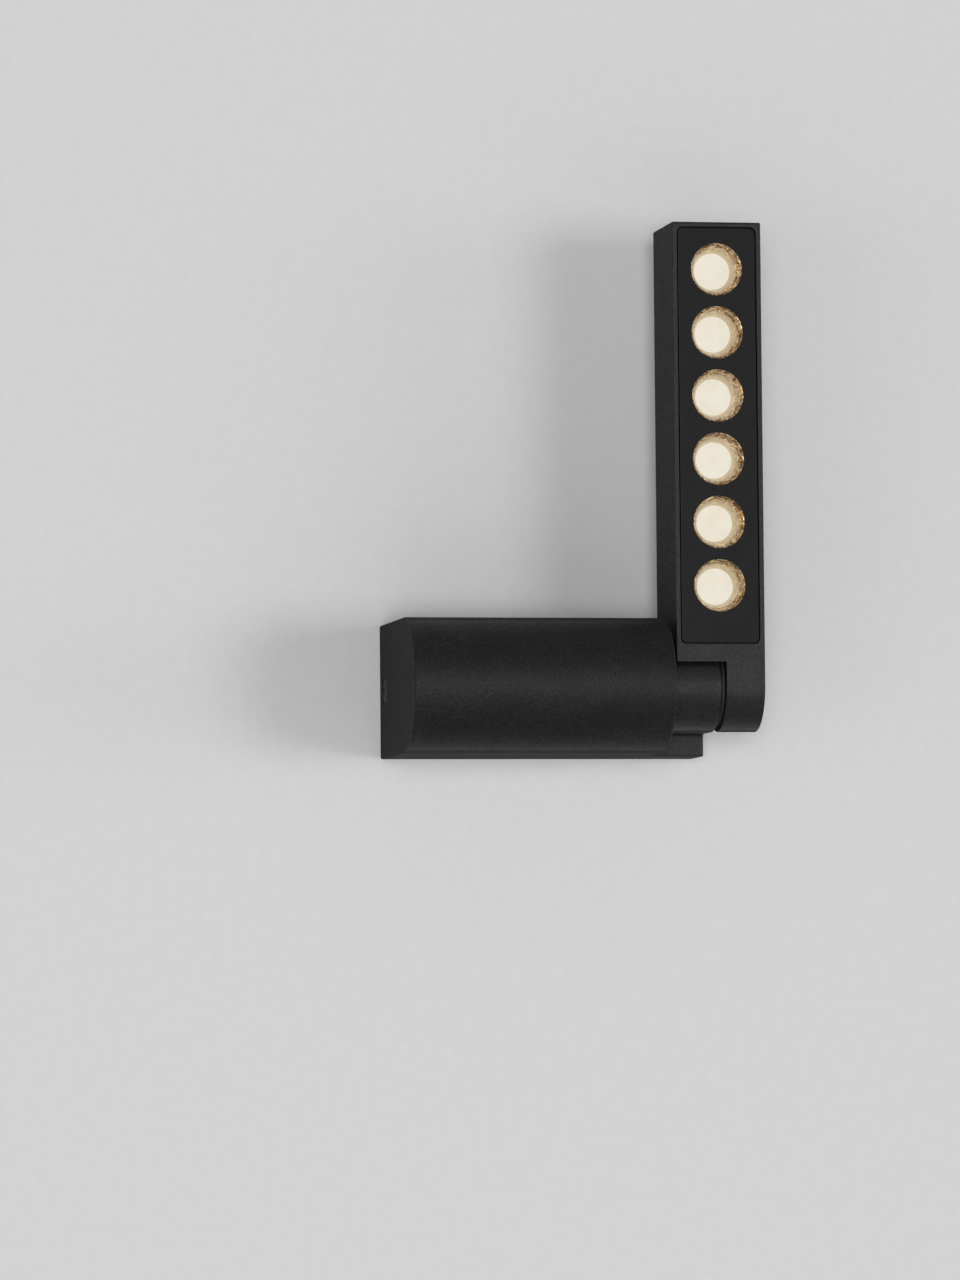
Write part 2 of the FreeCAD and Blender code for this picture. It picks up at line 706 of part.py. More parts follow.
def driver_choke():
    """A ferrite drum on the board, in the lower right corner."""
    low = board_top_depth
    high = low + choke_height
    outline = [(0, low), (choke_radius, low), (choke_radius, low + choke_flange),
               (choke_waist_radius, low + choke_flange), (choke_waist_radius, high - choke_flange),
               (choke_radius, high - choke_flange), (choke_radius, high), (0, high)]
    return turned_about_depth(driver_right - choke_inset, choke_inset - driver_half_height, outline)


# ---- leads
def mains_lead(z):
    """One wire from the terminal block round to the driver's right end."""
    wire_end = terminal_offset + terminal_body_length / 2 - wire_insert
    inside_driver = driver_right - driver_wall - lead_insert
    return lead_tube([point(wire_end, terminal_wire_depth, z), point(lead_turn_x, terminal_wire_depth, z),
                      point(lead_turn_x, driver_wire_depth, z), point(inside_driver, driver_wire_depth, z)],
                     lead_bend_radius, mains_lead_radius)


def base_lead():
    """The twin lead from the driver through hinge block, stem and hinge tube."""
    inside_driver = driver_right - driver_wall - lead_insert
    return lead_tube([point(inside_driver, driver_wire_depth, output_height),
                      point(lead_turn_x, driver_wire_depth, output_height),
                      point(lead_turn_x, duct_depth, output_height),
                      point(duct_x, duct_depth, output_height),
                      point(duct_x, duct_depth, 0),
                      point(duct_x, axis_depth, 0),
                      point(lead_split - sliding_clearance, axis_depth, 0)], lead_bend_radius, lead_radius)


def head_lead():
    """The same lead on the head's side, from the hinge tube up to the LED board."""
    return lead_tube([point(lead_split, axis_depth, 0), point(head_lead_x, axis_depth, 0),
                      point(head_lead_x, connector_lead_depth, head_lead_turn_height),
                      point(head_lead_x, connector_lead_depth, connector_height),
                      point(connector_right, connector_lead_depth, connector_height)],
                     lead_bend_radius, lead_radius)


# ---- hinge pieces
def hinge_tube():
    """A hollow bolt: its hexagon is held in the barrel and its thread takes the lock nut."""
    flange = hexagon_along_x((chamber_right, tube_shoulder), axis_depth, 0, tube_flange_across_flats)
    body = rod_along_x((chamber_right, tube_right), axis_depth, 0, tube_radius)
    bore = rod_along_x((chamber_right - 1, tube_right + 1), axis_depth, 0, tube_bore_radius)
    return flange.fuse(body).cut(bore).removeSplitter()


def ring_along_x(x_range, outer_radius, inner_radius):
    outer = rod_along_x(x_range, axis_depth, 0, outer_radius)
    return outer.cut(rod_along_x((x_range[0] - 1, x_range[1] + 1), axis_depth, 0, inner_radius))


def friction_washer():
    washer = ring_along_x((barrel_right, barrel_right + friction_washer_thickness), friction_washer_radius,
                          tube_radius + seat_clearance)
    return washer.cut(rod_along_x((barrel_right - 1, lug_left), axis_depth, stop_pin_orbit,
                                  stop_pin_radius + seat_clearance))


def stop_pin():
    tip = lug_left + stop_pin_reach
    pin = rod_along_x((barrel_right - stop_pin_reach * 2, tip), axis_depth, stop_pin_orbit, stop_pin_radius)
    return softened(pin, stop_pin_edge_radius, lambda b: in_plane_of_x(b, tip))


def lug_bush():
    bore = tube_radius + running_clearance
    return ring_along_x((lug_left + side_clearance, lug_web_right), bore + bush_wall, bore)


def wave_washer():
    return ring_along_x((lug_web_right + side_clearance, nut_left), wave_washer_radius,
                        tube_radius + seat_clearance)


def lock_nut():
    nut = hexagon_along_x((nut_left, nut_right), axis_depth, 0, lock_nut_across_flats)
    corner_radius = lock_nut_across_flats / 2 * lock_nut_corner_share
    nut = nut.common(rod_along_x((nut_left, nut_right), axis_depth, 0, corner_radius))
    thread = rod_along_x((nut_left - 1, nut_right + 1), axis_depth, 0, tube_radius + seat_clearance / 2)
    return nut.cut(thread)


def round_cap(x_range, radius, spigot_to, spigot_radius, face_x):
    """A disc with a thin spigot behind it and a softened visible edge."""
    disc = rod_along_x(x_range, axis_depth, 0, radius)
    disc = softened(disc, cap_edge_radius, lambda b: in_plane_of_x(b, face_x))
    spigot_range = (min(spigot_to, x_range[0]), max(spigot_to, x_range[1]))
    spigot = ring_along_x(spigot_range, spigot_radius, spigot_radius - spigot_wall)
    return disc.fuse(spigot).removeSplitter()


def barrel_plug():
    return round_cap((barrel_left, chamber_left), plug_rim_radius - seat_clearance,
                     chamber_left + spigot_reach, barrel_chamber_radius - seat_clearance, barrel_left)


def lug_cap():
    rim = lug_chamber_radius - seat_clearance
    return round_cap((cap_left, head_right), rim, cap_left - spigot_reach, rim, head_right)


# ---- tilting head
def stop_slot():
    """The arc in the lug's inner face that the stop pin runs in."""
    half_width = stop_pin_radius + sliding_clearance
    x_range = (lug_left - 1, lug_left + stop_slot_depth)
    ring = ring_along_x(x_range, stop_pin_orbit + half_width, stop_pin_orbit - half_width)
    corners = [point(x_range[0], axis_depth, 0)]
    reach = lug_chamber_radius * 3
    for step in range(stop_slot_steps + 1):
        angle = math.radians(tilt_range * step / stop_slot_steps)
        corners.append(point(x_range[0], axis_depth - reach * math.sin(angle), reach * math.cos(angle)))
    sector = Part.Face(Part.makePolygon(corners + corners[:1]))
    wedge = sector.extrude(FreeCAD.Vector(x_range[1] - x_range[0], 0, 0))
    ends = []
    for angle in (0, math.radians(tilt_range)):
        ends.append(rod_along_x(x_range, axis_depth - stop_pin_orbit * math.sin(angle),
                                stop_pin_orbit * math.cos(angle), half_width))
    return ring.common(wedge).fuse(ends)


def head_profile(x):
    """The head from the side: a tall bar with a full round foot about the tilt axis."""
    foot = Part.Arc(point(x, head_front, 0), point(x, axis_depth, -barrel_radius), point(x, head_back, 0))
    edges = [foot.toShape(),
             Part.LineSegment(point(x, head_back, 0), point(x, head_back, head_rise)).toShape(),
             Part.LineSegment(point(x, head_back, head_rise), point(x, head_front, head_rise)).toShape(),
             Part.LineSegment(point(x, head_front, head_rise), point(x, head_front, 0)).toShape()]
    return Part.Face(Part.Wire(edges))


def rounded_opening(x_range, depth_range, z_range, corner_radius):
    """A pocket square to the wall with rounded corners."""
    pocket = block(x_range, depth_range, z_range)
    return softened(pocket, corner_radius, lambda b: same(b.XMin, b.XMax) and same(b.ZMin, b.ZMax))


def in_plane_of_depth(bounds, depth):
    """Whether an edge lies in the plane at this distance out from the wall."""
    return same(bounds.YMin, -depth) and same(bounds.YMax, -depth)


def head_body():
    body = head_profile(head_left).extrude(FreeCAD.Vector(head_width, 0, 0))
    body = softened(body, head_edge_radius,
                    lambda b: in_plane_of_x(b, head_left) or in_plane_of_x(b, head_right) or
                    (same(b.ZMin, head_rise) and same(b.ZMax, head_rise)))
    notch = rod_along_x((head_left - 1, lug_left), axis_depth, 0, notch_radius)
    below = block((head_left - 1, lug_left), (head_back - 1, head_front + 1), (-barrel_radius - 1, 0))
    body = body.cut([notch, below])
    body = softened(body, head_edge_radius / 2, lambda b: in_plane_of_x(b, lug_left) and (
        b.ZMin < -1 and b.YMax - b.YMin > barrel_radius))

    panel_recess = rounded_opening((panel_left, panel_right), (panel_back_depth, head_front + 1),
                                   (panel_bottom, panel_top), panel_corner_radius)
    body = softened(body.cut(panel_recess), recess_edge_radius, lambda b: in_plane_of_depth(b, head_front) and
                    b.XMin > panel_left - recess_edge_radius and b.XMax < panel_right + recess_edge_radius and
                    b.ZMin > panel_bottom - recess_edge_radius and b.ZMax < panel_top + recess_edge_radius)
    module_pocket = rounded_opening((module_left, module_right), (module_floor_depth, head_front + 1),
                                    (module_bottom, module_top), panel_corner_radius)
    chamber = rod_along_x((lug_web_right, head_right + 1), axis_depth, 0, lug_chamber_radius)
    bush_seat = rod_along_x((lug_left - 1, lug_web_right + 1), axis_depth, 0,
                            tube_radius + running_clearance + bush_wall + seat_clearance)
    lead_way_start = head_lead_turn_height / 2
    lead_way = Part.makeCylinder(lead_radius + lead_way_clearance, module_bottom + 1 - lead_way_start,
                                 point(head_lead_x, connector_lead_depth, lead_way_start),
                                 FreeCAD.Vector(0, 0, 1))
    cuts = [module_pocket, chamber, bush_seat, lead_way, stop_slot()]
    for x, z in board_screw_places():
        cuts.append(rod_out_of_wall(x, (board_face_depth - m2_screw_length, board_face_depth), z,
                                    m2_radius + seat_clearance))
    return body.cut(cuts).removeSplitter()


def board_screw_places():
    """Between every second pair of optics, clear of the reflector skirts."""
    return [(head_centre, (optic_heights[index] + optic_heights[index + 1]) / 2)
            for index in range(0, optic_count - 1, 2)]


def front_panel():
    """The smooth insert: each optic looks out through a hole whose thin lip covers the reflector's rim."""
    panel = rounded_opening((panel_left + panel_groove, panel_right - panel_groove),
                            (panel_back_depth, panel_face_depth),
                            (panel_bottom + panel_groove, panel_top - panel_groove),
                            panel_corner_radius - panel_groove)
    panel = softened(panel, panel_edge_radius, lambda b: in_plane_of_depth(b, panel_face_depth))
    holes = []
    for z in optic_heights:
        holes.append(rod_out_of_wall(head_centre, (panel_back_depth - 1, panel_face_depth + 1), z,
                                     optic_opening_radius))
        holes.append(rod_out_of_wall(head_centre, (panel_back_depth - 1, panel_face_depth - optic_lip), z,
                                     reflector_rim_radius + side_clearance))
    return panel.cut(holes)


def reflector(z):
    """A conical cup behind the panel, on a skirt that stands on the LED board."""
    flange_front = panel_back_depth - side_clearance
    flange_back = flange_front - reflector_flange_thickness
    seat = lens_radius + seat_clearance
    skirt = seat + reflector_skirt_wall
    throat = lens_radius - lens_seat_lip
    outline = [(throat, lens_face_depth + lens_crown), (optic_opening_radius, reflector_rim_depth),
               (reflector_rim_radius, reflector_rim_depth), (reflector_rim_radius, flange_front),
               (reflector_flange_radius, flange_front), (reflector_flange_radius, flange_back),
               (optic_opening_radius, flange_back), (skirt, lens_face_depth),
               (skirt, board_face_depth), (seat, board_face_depth),
               (seat, lens_face_depth), (throat, lens_face_depth)]
    return turned_about_depth(head_centre, z, outline)


def lens(z):
    """A frosted disc with a slight crown, held in the reflector's skirt."""
    seat = rod_out_of_wall(head_centre, (lens_back_depth, lens_face_depth), z, lens_radius)
    inner = lens_radius - lens_crown_inset
    crown_depth = lens_face_depth + lens_crown
    crown_radius = (inner ** 2 + lens_crown ** 2) / (2 * lens_crown)
    ball = Part.makeSphere(crown_radius, point(head_centre, crown_depth - crown_radius, z))
    crown = rod_out_of_wall(head_centre, (lens_face_depth, crown_depth), z, inner).common(ball)
    return seat.fuse(crown).removeSplitter()


def led_board():
    """The board that carries the LEDs, on its thermal pad at the bottom of the pocket."""
    board = rounded_opening((module_left + led_board_side_gap, module_right - led_board_side_gap),
                            (board_back_depth, board_face_depth),
                            (module_bottom + led_board_side_gap, module_top - led_board_side_gap),
                            panel_corner_radius - led_board_side_gap)
    holes = [rod_out_of_wall(x, (board_back_depth - 1, board_face_depth + 1), z, m2_radius + seat_clearance)
             for x, z in board_screw_places()]
    return board.cut(holes)


def thermal_pad():
    pad = block((module_left + 2 * led_board_side_gap, module_right - 2 * led_board_side_gap),
                (module_floor_depth, board_back_depth),
                (module_bottom + 2 * led_board_side_gap, module_top - 2 * led_board_side_gap))
    holes = [rod_out_of_wall(x, (module_floor_depth - 1, board_back_depth + 1), z,
                             m2_radius + seat_clearance) for x, z in board_screw_places()]
    return pad.cut(holes)


def led_chips():
    """One chip behind each lens: a square base with its round phosphor."""
    chips = []
    half = led_chip_side / 2
    base_top = board_face_depth + led_chip_height * led_base_share
    for z in optic_heights:
        base = block((head_centre - half, head_centre + half), (board_face_depth, base_top),
                     (z - half, z + half))
        dome = rod_out_of_wall(head_centre, (base_top, board_face_depth + led_chip_height), z,
                               half * led_dome_share)
        chips.append(base.fuse(dome).removeSplitter())
    return Part.makeCompound(chips)


def board_connector():
    front = board_face_depth + connector_thickness
    body = block((connector_right - connector_length, connector_right), (board_face_depth, front),
                 (connector_height - connector_width / 2, connector_height + connector_width / 2))
    return softened(body, connector_edge_radius, lambda b: in_plane_of_depth(b, front))


def clamp_screws():
    seat = back_plate_thickness + clamp_thickness
    return Part.makeCompound([pan_screw(x, z, seat, seat - screw_floor, m3_radius, m3_head_radius,
                                        m3_head_height) for x, z in plate_screw_places()[:2]])


def terminal_fixing_screw():
    seat = terminal_front - terminal_web_set_back - m2_head_height
    x, z = terminal_fixing_place()
    return pan_screw(x, z, seat, seat - screw_floor, m2_radius, m2_head_radius, m2_head_height)


def terminal_screws():
    """Slotted grub screws that pinch the wires."""
    low = terminal_wire_depth + terminal_wire_radius
    high = low + terminal_screw_length
    screws = []
    for x, z in terminal_screw_places():
        screw = rod_out_of_wall(x, (low, high), z, terminal_screw_radius)
        slot = block((x - terminal_screw_radius, x + terminal_screw_radius),
                     (high - grub_slot_depth, high + 1), (z - grub_slot_width / 2, z + grub_slot_width / 2))
        screws.append(screw.cut(slot))
    return Part.makeCompound(screws)


def earth_tag():
    """A ring tag under the earth screw."""
    x, z = plate_screw_places()[2]
    depths = (back_plate_thickness, back_plate_thickness + earth_tag_thickness)
    ring = rod_out_of_wall(x, depths, z, m3_head_radius + tag_rim)
    tail = block((x - earth_tag_length, x), depths, (z - earth_tag_width / 2, z + earth_tag_width / 2))
    hole = rod_out_of_wall(x, (0, back_plate_thickness + 2), z, m3_radius + seat_clearance)
    return ring.fuse(tail).cut(hole).removeSplitter()


def earth_screw():
    x, z = plate_screw_places()[2]
    seat = back_plate_thickness + earth_tag_thickness
    return pan_screw(x, z, seat, seat - screw_floor, m3_radius, m3_head_radius, m3_head_height)


def driver_screws():
    seat = driver_back + driver_wall + driver_ear_height
    return Part.makeCompound([pan_screw(x, z, seat, m25_screw_length, m25_radius, m25_head_radius,
                                        m25_head_height) for x, z in driver_post_places()])


def board_screws():
    return Part.makeCompound([pan_screw(x, z, board_face_depth, board_screw_length, m2_radius,
                                        m2_head_radius, m2_head_height) for x, z in board_screw_places()])


def build_all():
    pieces = {
        "base_casting": base_casting(),
        "housing_cover": housing_cover(),
        "cover_screw": button_head_screw(),
        "cable_grommet": cable_grommet(),
        "cord_clamp": cord_clamp(),
        "cord_clamp_screws": clamp_screws(),
        "terminal_block": terminal_block(),
        "terminal_fixing_screw": terminal_fixing_screw(),
        "terminal_screws": terminal_screws(),
        "earth_tag": earth_tag(),
        "earth_screw": earth_screw(),
        "driver_case": driver_case(),
        "driver_lid": driver_lid(),
        "driver_board": driver_board(),
        "driver_transformer": driver_transformer(),
        "driver_capacitors": driver_capacitors(),
        "driver_choke": driver_choke(),
        "driver_screws": driver_screws(),
        "live_lead": mains_lead(0),
        "neutral_lead": mains_lead(-terminal_pole_pitch),
        "base_lead": base_lead(),
        "hinge_tube": hinge_tube(),
        "barrel_plug": barrel_plug(),
        "friction_washer": friction_washer(),
        "stop_pin": stop_pin(),
        "wave_washer": wave_washer(),
        "lock_nut": lock_nut(),
        "head_body": head_body(),
        "lug_bush": lug_bush(),
        "lug_cap": lug_cap(),
        "head_lead": head_lead(),
        "front_panel": front_panel(),
        "led_board": led_board(),
        "thermal_pad": thermal_pad(),
        "led_chips": led_chips(),
        "board_connector": board_connector(),
        "board_screws": board_screws(),
    }
    for number, z in enumerate(optic_heights, start=1):
        pieces["reflector_%d" % number] = reflector(z)
        pieces["lens_%d" % number] = lens(z)
    return pieces


os.makedirs("parts", exist_ok=True)
for node, shape in build_all().items():
    print(node, "solids", len(shape.Solids), "valid", shape.isValid(), "volume", round(shape.Volume, 1))
    shape.exportStep("parts/" + node + ".step")
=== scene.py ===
import json
import math

import bpy
from mathutils import Matrix, Vector, noise


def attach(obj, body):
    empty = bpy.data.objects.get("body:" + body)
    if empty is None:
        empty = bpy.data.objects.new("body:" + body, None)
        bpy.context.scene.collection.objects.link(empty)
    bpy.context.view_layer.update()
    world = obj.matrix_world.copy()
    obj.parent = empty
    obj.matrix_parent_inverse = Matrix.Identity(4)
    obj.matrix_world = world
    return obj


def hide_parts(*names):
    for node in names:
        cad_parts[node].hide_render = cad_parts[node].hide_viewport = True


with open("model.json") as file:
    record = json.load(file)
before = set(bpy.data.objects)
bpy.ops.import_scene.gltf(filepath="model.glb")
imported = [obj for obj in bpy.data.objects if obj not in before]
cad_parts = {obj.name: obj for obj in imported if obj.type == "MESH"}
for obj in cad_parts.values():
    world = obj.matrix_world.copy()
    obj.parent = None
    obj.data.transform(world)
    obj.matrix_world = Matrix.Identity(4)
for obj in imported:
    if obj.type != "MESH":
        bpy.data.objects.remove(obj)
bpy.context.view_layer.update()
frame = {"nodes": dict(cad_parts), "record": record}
nodes = frame["nodes"]

# Everything is in metres: X along the wall, +Y into the wall, +Z up.
MM = 0.001

# ---- the optics, as in the CAD model: distances out from the wall, and radii
OPTIC_COUNT = 6
CUP_FLOOR = 34.85 * MM
CUP_RIM = 40.95 * MM
CUP_MOUTH = 7.45 * MM
LENS_RADIUS = 5.4 * MM
BOARD_FACE = 30.75 * MM
FLANGE_FRONT = 39.95 * MM
FLANGE_RADIUS = 8.5 * MM

# ---- how a cup is made
CUP_WALL = 0.8 * MM
LIP_WALL = 0.25 * MM
LENS_GAP = 0.05 * MM
# the cup's lowest edge covers this much of the lens, this far in front of it
LENS_COVER = 0.2 * MM
COVER_RISE = 0.35 * MM
CUP_POINTS_AROUND = 180
CUP_STEPS = 30

# ---- creases in a cup's film; shares are of the way from the lens to the rim
CREASE_HEIGHT = 0.4 * MM
CREASE_START = 0.35
CREASE_GROWTH = 0.25
CREASE_END = 0.05
CREASES_AROUND = 2.6
CREASES_ALONG = 2.4
# each cup takes its own part of the noise
CUP_SHIFT = 7.3
BEND_SCALE = 0.8
BEND_AMOUNT = 0.7
RIDGE_SHARPNESS = 2.2
LARGE_SHARE = 0.65
SMALL_SCALE = 2.3
SMALL_SHIFT = Vector((5, 1, 3))
CREASE_SEED = 1

# ---- the stage
WALL_Y = 0.0002
FLOOR_Z = -1.2
STAGE_REACH = 3.0
STAGE_PAINT = (0.63, 0.63, 0.63, 1)
# the wall is open here, a little inside the outline of housing and hinge block: X, then Z
WALL_OPENING = ((-0.0368, 0.0536), (-0.0186, 0.0186))
# name, azimuth, elevation and spread in degrees, strength; azimuth 0 is straight in front of the wall
SUNS = (
    ("front", -10, -1.4, 22, 1.35),
    ("right", 38, -3, 20, 0.85),
    ("far_right", 68, -2, 24, 0.45),
    ("left", -59, -16, 42, 0.577),
)
WASH_SIZE = (5.0, 2.6)
WASH_PLACE = (0, -1.45, FLOOR_Z + 0.3)
WASH_POWER = 30
# the world's strength on the object from the room's side, and behind the wall and in the background
ROOM_STRENGTH = 0.133
PALE_STRENGTH = 0.63
WORLD_BLEND = 0.1

# ---- the camera, worked out from the photograph's edges; angles in degrees
CAMERA_PLACE = Vector((-0.37195, -1.91625, -0.10263))
CAMERA_YAW = 10.751
CAMERA_PITCH = 3.455
CAMERA_ROLL = -0.506
FOCAL_PIXELS = 6797.0
IMAGE_HEIGHT = 1280
SENSOR = 36.0
CLIP_NEAR = 0.05
CLIP_FAR = 20


# ---- material helpers
def srgb(red, green, blue):
    """A colour given as 0-255 screen values, as linear numbers."""
    def linear(value):
        value /= 255
        return value / 12.92 if value <= 0.04045 else ((value + 0.055) / 1.055) ** 2.4
    return (linear(red), linear(green), linear(blue), 1.0)


def shaded(colour, factor):
    return tuple(channel * factor for channel in colour[:3]) + (1.0,)


class Graph:
    """A short way to write a material's nodes."""

    def __init__(self, name):
        self.material = bpy.data.materials.new(name)
        self.material.use_nodes = True
        self.tree = self.material.node_tree
        self.tree.nodes.clear()
        self.output = self.add("ShaderNodeOutputMaterial")
        self.place = self.add("ShaderNodeTexCoord").outputs["Object"]

    def add(self, kind, **settings):
        node = self.tree.nodes.new(kind)
        for key, value in settings.items():
            setattr(node, key, value)
        return node

    def join(self, source, target):
        self.tree.links.new(source, target)

    def put(self, node, **values):
        """Sets or links a node's inputs; a space in an input's name is written as an underscore."""
        for key, value in values.items():
            socket = node.inputs[key.replace("_", " ")]
            if isinstance(value, bpy.types.NodeSocket):
                self.join(value, socket)
            else:
                socket.default_value = value

    def noise(self, scale, detail, roughness, distortion=0.0, place=None):
        node = self.add("ShaderNodeTexNoise")
        self.put(node, Vector=place or self.place, Scale=scale, Detail=detail, Roughness=roughness,
                 Distortion=distortion)
        return node.outputs["Fac"]

    def cells(self, scale):
        node = self.add("ShaderNodeTexVoronoi")
        self.put(node, Vector=self.place, Scale=scale)
        return node.outputs["Distance"]

    def ramp(self, value, stops):
        """A colour ramp through (place, colour) stops."""
        node = self.add("ShaderNodeValToRGB")
        elements = node.color_ramp.elements
        while len(elements) < len(stops):
            elements.new(1.0)
        for element, (place, colour) in zip(elements, stops):
            element.position = place
            element.color = colour
        self.join(value, node.inputs["Fac"])
        return node.outputs["Color"]

    def spread(self, value, low, high, new_low, new_high):
        """Maps low..high to new_low..new_high, and stops at both ends."""
        node = self.add("ShaderNodeMapRange")
        for index, number in enumerate((low, high, new_low, new_high), start=1):
            node.inputs[index].default_value = number
        self.join(value, node.inputs[0])
        return node.outputs[0]

    def maths(self, operation, first, second):
        node = self.add("ShaderNodeMath", operation=operation)
        for index, value in enumerate((first, second)):
            if isinstance(value, bpy.types.NodeSocket):
                self.join(value, node.inputs[index])
            else:
                node.inputs[index].default_value = value
        return node.outputs[0]

    def blend(self, factor, first, second):
        """A mix of two colours. These socket numbers are the colour mix's factor, A, B and result."""
        node = self.add("ShaderNodeMix", data_type="RGBA")
        for index, value in ((0, factor), (6, first), (7, second)):
            self.join(value, node.inputs[index])
        return node.outputs[2]

    def bump(self, height, strength, distance, normal=None):
        node = self.add("ShaderNodeBump")
        self.put(node, Height=height, Strength=strength, Distance=distance)
        if normal is not None:
            self.join(normal, node.inputs["Normal"])
        return node.outputs["Normal"]

    def surface(self, **values):
        shader = self.add("ShaderNodeBsdfPrincipled")
        self.put(shader, **values)
        self.join(shader.outputs[0], self.output.inputs["Surface"])


# ---- materials
def powder_coat(name, colour, roughness, specular, duller):
    """Fine-textured matte powder coat: small grains that differ in colour and gloss, duller edge-on."""
    graph = Graph(name)
    peel = graph.noise(scale=1500, detail=3, roughness=0.6)
    speck = graph.cells(scale=3900)
    broad = graph.noise(scale=90, detail=3, roughness=0.5)
    mottle = graph.maths("ADD", graph.maths("MULTIPLY", peel, 0.8), graph.maths("MULTIPLY", broad, 0.2))
    base = graph.ramp(mottle, [(0.38, shaded(colour, 0.1)), (0.5, shaded(colour, 0.9)),
                               (0.62, shaded(colour, 2.6))])
    gloss = graph.spread(peel, 0.34, 0.66, roughness + 0.08, roughness - 0.08)
    edge_on = graph.add("ShaderNodeLayerWeight").outputs["Facing"]
    gloss = graph.maths("ADD", gloss, graph.spread(edge_on, 0.66, 0.8, 0.0, duller))
    coarse = graph.bump(peel, strength=0.5, distance=0.16 * MM)
    fine = graph.bump(speck, strength=0.25, distance=0.06 * MM, normal=coarse)
    graph.surface(Base_Color=base, Roughness=gloss, Normal=fine, Specular_IOR_Level=specular)
    return graph.material


def moulded(name, colour, roughness, strength=0.15, change=0.12, specular=0.5):
    """A moulded surface with faint cloudiness in colour and gloss."""
    graph = Graph(name)
    cloud = graph.noise(scale=160, detail=4, roughness=0.6)
    base = graph.ramp(cloud, [(0.25, shaded(colour, 1 - change)), (0.75, shaded(colour, 1 + change))])
    wear = graph.noise(scale=900, detail=3, roughness=0.5)
    gloss = graph.spread(wear, 0.25, 0.75, roughness * 0.88, roughness * 1.12)
    peel = graph.noise(scale=1500, detail=2, roughness=0.5)
    graph.surface(Base_Color=base, Roughness=gloss, Specular_IOR_Level=specular,
                  Normal=graph.bump(peel, strength, distance=0.03 * MM))
    return graph.material


def brushed(name, colour, roughness):
    """Turned or drawn metal: fine lines across Z."""
    graph = Graph(name)
    mapping = graph.add("ShaderNodeMapping")
    graph.put(mapping, Vector=graph.place, Scale=(1, 1, 14))
    lines = graph.noise(scale=900, detail=4, roughness=0.65, place=mapping.outputs[0])
    base = graph.ramp(lines, [(0.25, shaded(colour, 0.8)), (0.75, shaded(colour, 1.12))])
    graph.surface(Base_Color=base, Metallic=1.0, Normal=graph.bump(lines, strength=0.2, distance=0.02 * MM),
                  Roughness=graph.spread(lines, 0.2, 0.8, roughness * 0.8, roughness * 1.2))
    return graph.material


def gold_foil(name):
    """Satin metal film, smooth by the lens and creased towards the rim: its pale colour by the lens is a
    painted reflection of the lit lens, and towards the rim it turns to a gold with painted glints on the
    fold tops and painted shade in the folds.
    """
    graph = Graph(name)
    folds = graph.noise(scale=520, detail=3, roughness=0.6, distortion=1.6)
    split = graph.add("ShaderNodeSeparateXYZ")
    graph.put(split, Vector=graph.place)
    # painted reflection: the lit lens's cream colour is painted into the film near the lens and fades out
    # towards the rim
    lens_reflection_fade = graph.spread(split.outputs["Y"], -CUP_FLOOR - 0.8 * MM, -CUP_RIM + 0.8 * MM, 0.0, 1.0)
    pale = graph.ramp(folds, [(0.3, srgb(211, 196, 170)), (0.7, srgb(224, 211, 187))])
    # gold with painted shade in the fold hollows (the dark stop) and painted glints on the fold tops (the
    # bright stop)
    gold_with_painted_glints = graph.ramp(folds, [(0.34, srgb(92, 68, 45)), (0.5, srgb(164, 134, 98)),
                                (0.66, srgb(240, 219, 183))])
    graph.surface(Base_Color=graph.blend(lens_reflection_fade, pale, gold_with_painted_glints), Metallic=1.0,
                  Normal=graph.bump(folds, strength=0.25, distance=0.2 * MM),
                  Roughness=graph.spread(folds, 0.3, 0.7, 0.3, 0.2))
    return graph.material


def lit_lens(name):
    """A frosted disc that glows, faintly cloudy."""
    graph = Graph(name)
    cloud = graph.noise(scale=300, detail=2, roughness=0.5)
    glow = graph.ramp(cloud, [(0.3, srgb(231, 223, 204)), (0.7, srgb(235, 229, 212))])
    graph.surface(Base_Color=(0.02, 0.02, 0.02, 1), Roughness=0.6, Emission_Color=glow,
                  Emission_Strength=1.0, Specular_IOR_Level=0.0)
    return graph.material


